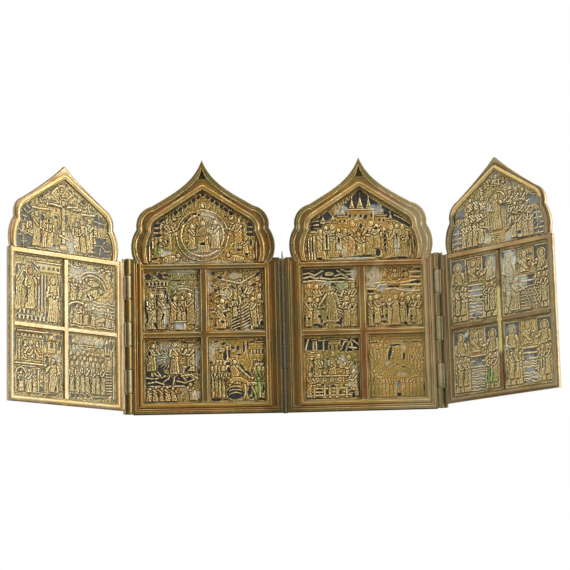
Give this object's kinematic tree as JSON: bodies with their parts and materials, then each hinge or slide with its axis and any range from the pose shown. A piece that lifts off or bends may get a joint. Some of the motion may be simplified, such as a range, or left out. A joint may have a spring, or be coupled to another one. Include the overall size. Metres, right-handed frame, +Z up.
{
  "type": "travel icon",
  "caption": "Folding travel icon of hinged cast leaves with keel-shaped tops and small relief scenes; it stands open like a screen and folds flat.",
  "frame": {"origin": "on the surface it stands on, under the middle of its box", "axes": "+X to the viewer's right across the open leaves, +Y from the relief side towards the back, +Z up; the whole icon leans 2.4 degrees towards -Y"},
  "size_m": [0.358, 0.0812, 0.1756],
  "materials": {
    "wing_brass": "worn cast brass, yellow gold on the high places, with dark and pale enamel fused into the grounds",
    "centre_brass": "browner, more tarnished cast brass with copper-red rails, dark recesses and dark and pale enamel in the grounds",
    "pin_brass": "dull dark wire"
  },
  "bodies": {
    "left_centre": {"left_centre_leaf": "centre_brass", "left_hinge_pin": "pin_brass", "centre_hinge_pin": "pin_brass"},
    "right_centre": {"right_centre_leaf": "centre_brass", "right_hinge_pin": "pin_brass"},
    "left_wing": {"left_wing": "wing_brass"},
    "right_wing": {"right_wing": "wing_brass"}
  },
  "joints": [
    {"name": "centre_fold", "type": "hinge", "parent": "left_centre", "child": "right_centre", "pos_m": [0.00197, 0.03856, 0.00047], "axis": [0, -0.0419, 0.9991], "range_deg": [-25, 183]},
    {"name": "left_wing_swing", "type": "hinge", "parent": "left_centre", "child": "left_wing", "pos_m": [-0.10271, 0.02935, 0.00256], "axis": [0, -0.0419, 0.9991], "range_deg": [-38.5, 141]},
    {"name": "right_wing_swing", "type": "hinge", "parent": "right_centre", "child": "right_wing", "pos_m": [0.10665, 0.02934, 0.00275], "axis": [0, -0.0419, 0.9991], "range_deg": [-137.5, 42.2]}
  ]
}
